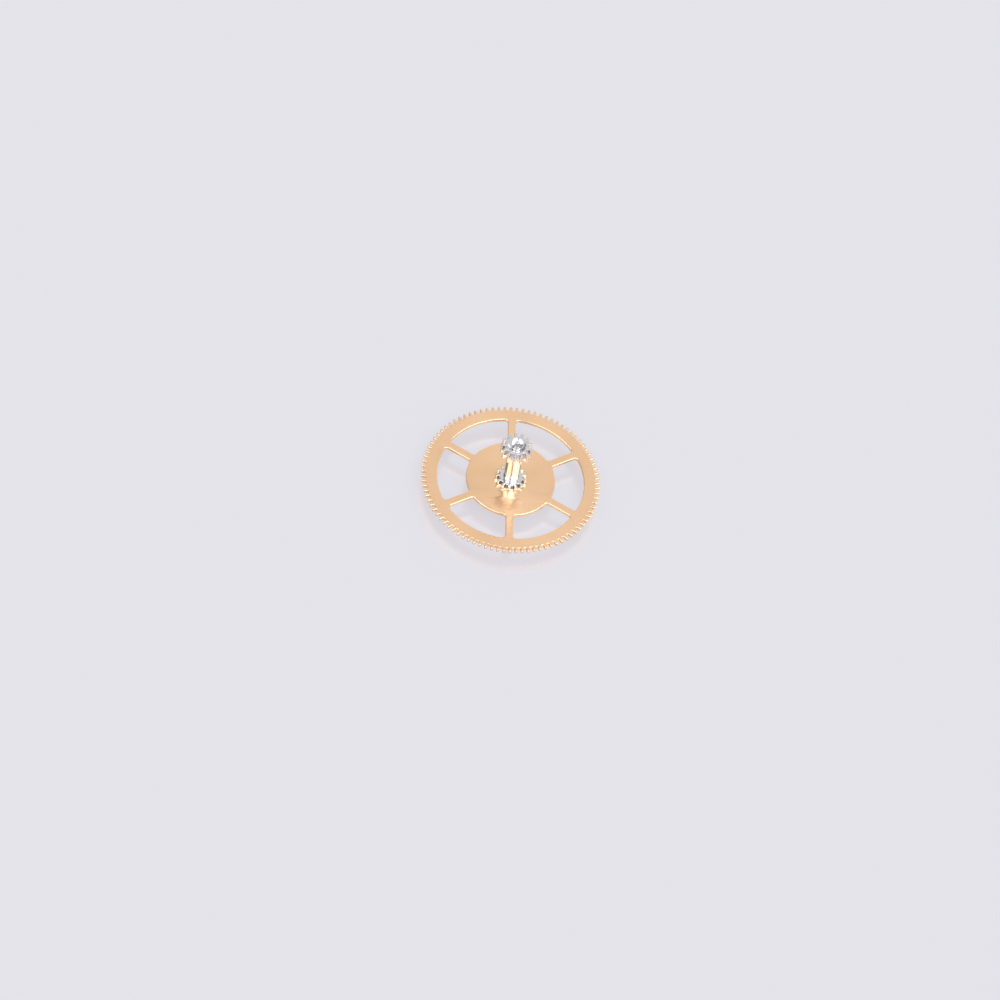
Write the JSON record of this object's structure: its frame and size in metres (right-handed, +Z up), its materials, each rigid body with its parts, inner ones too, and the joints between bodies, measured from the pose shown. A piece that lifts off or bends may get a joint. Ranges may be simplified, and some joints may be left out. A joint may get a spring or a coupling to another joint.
{
  "type": "watch third wheel",
  "caption": "Spoked gilt wheel riveted on a long polished pinion with two leaf sections and a pivot at each end; carries drive through a watch's going train.",
  "frame": {"origin": "centre of the end of the lower pivot, on the arbor's axis", "axes": "+Z up the arbor from the lower pivot to the pinion's head and upper pivot, +Y along one spoke of the wheel"},
  "size_m": [0.007, 0.007, 0.0031],
  "materials": {
    "gilt_brass": "gilt, finely grained",
    "polished_steel": "hardened and polished"
  },
  "bodies": {
    "root": {"wheel": "gilt_brass", "pinion": "polished_steel"}
  },
  "joints": []
}
